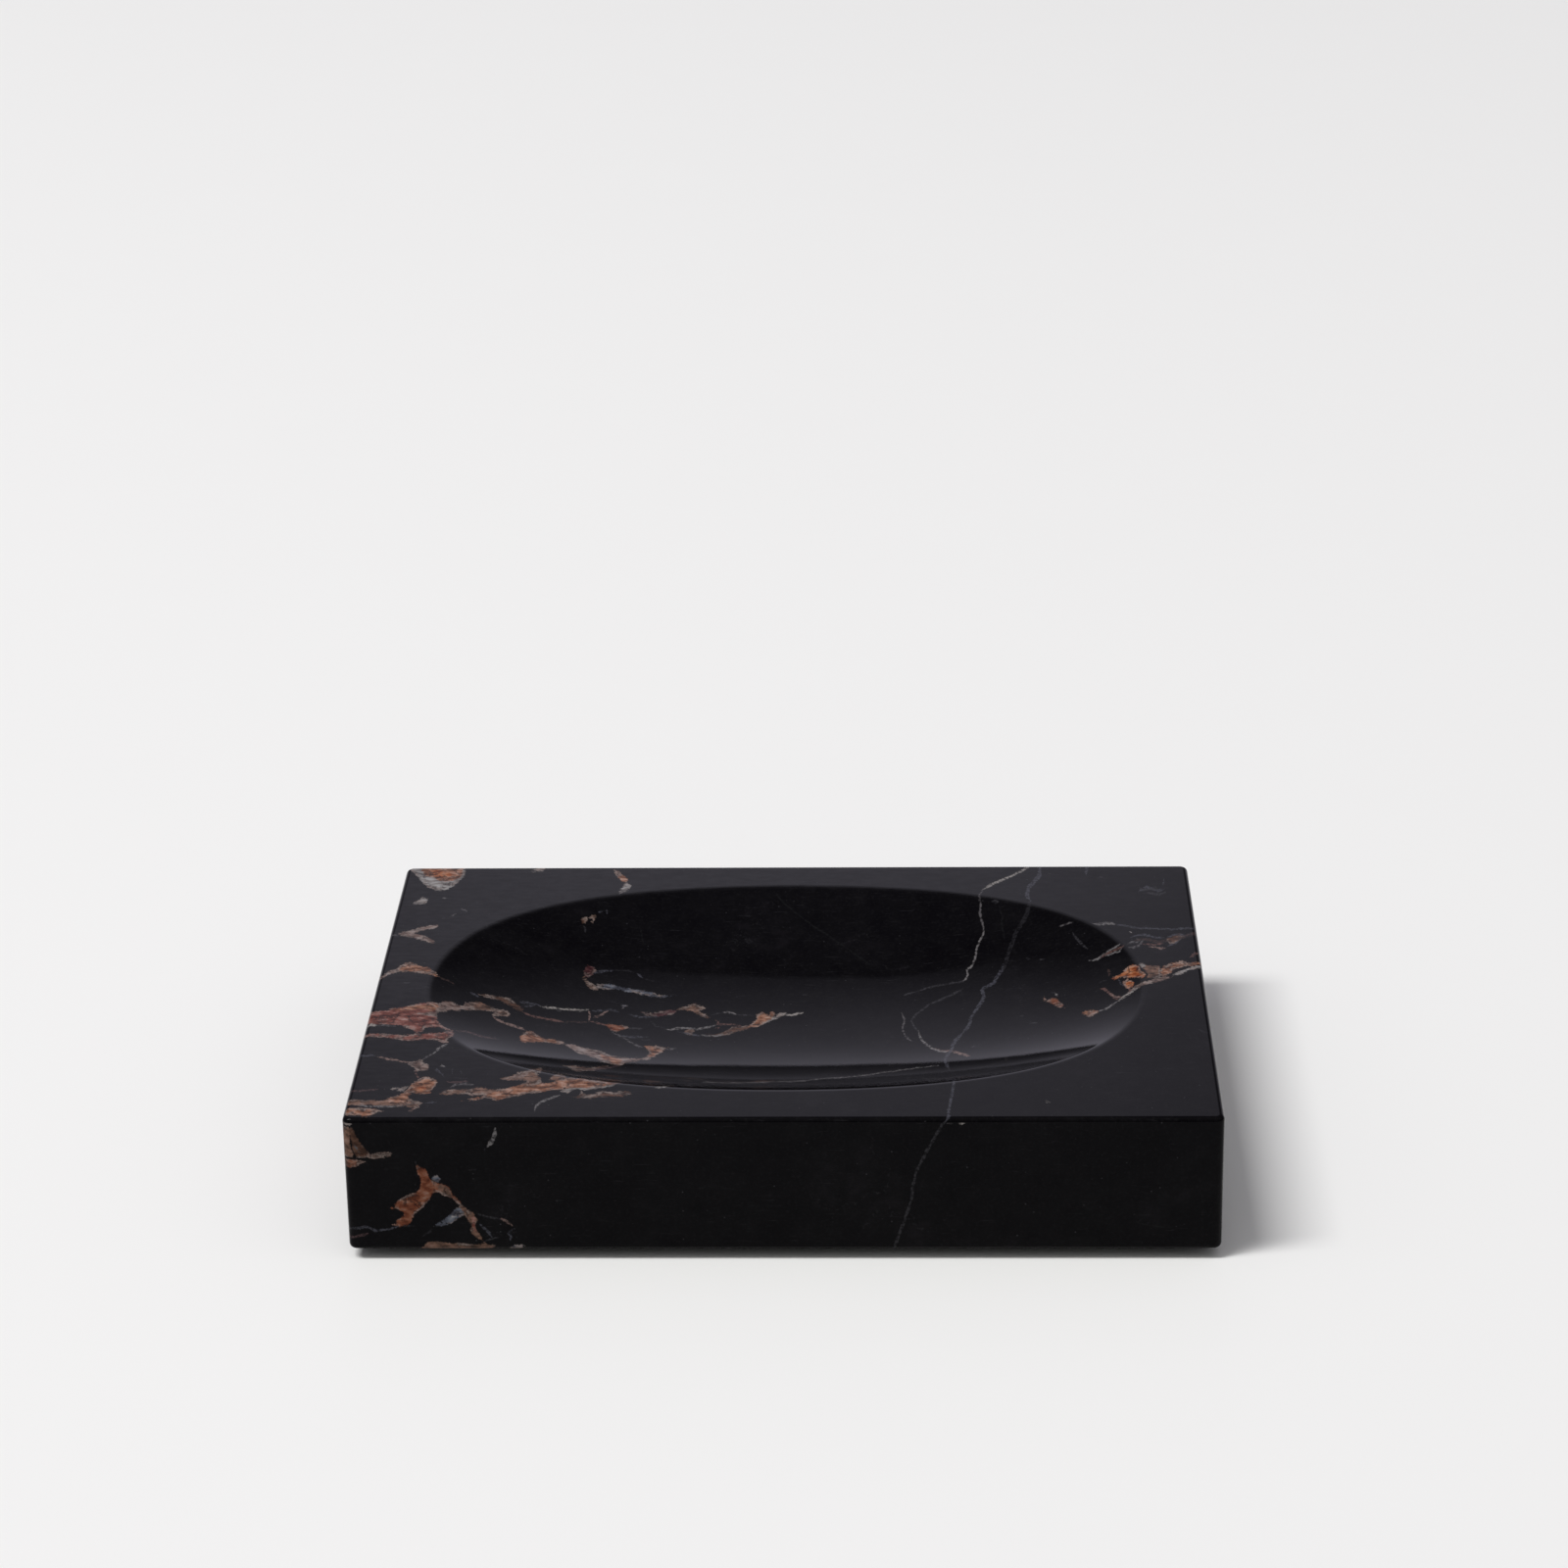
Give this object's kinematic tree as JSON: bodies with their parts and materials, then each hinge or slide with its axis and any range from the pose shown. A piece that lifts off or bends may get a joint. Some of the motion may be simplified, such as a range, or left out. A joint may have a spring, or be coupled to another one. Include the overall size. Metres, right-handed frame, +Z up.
{
  "type": "soap dish",
  "caption": "Rectangular soap dish: a thick polished black marble block with a shallow oval bowl carved in its top, standing on thin cushion feet.",
  "frame": {"origin": "on the table, under the middle of the block", "axes": "+X along the block to the right, +Y from the front to the back, +Z up"},
  "size_m": [0.14, 0.1, 0.0253],
  "materials": {
    "marble": "polished",
    "cushion": "matte",
    "adhesive": "satin"
  },
  "bodies": {
    "root": {"stone_block": "marble", "foot_front_left": "cushion", "foot_front_right": "cushion", "foot_rear_left": "cushion", "foot_rear_right": "cushion", "adhesive_front_left": "adhesive", "adhesive_front_right": "adhesive", "adhesive_rear_left": "adhesive", "adhesive_rear_right": "adhesive"}
  },
  "joints": []
}
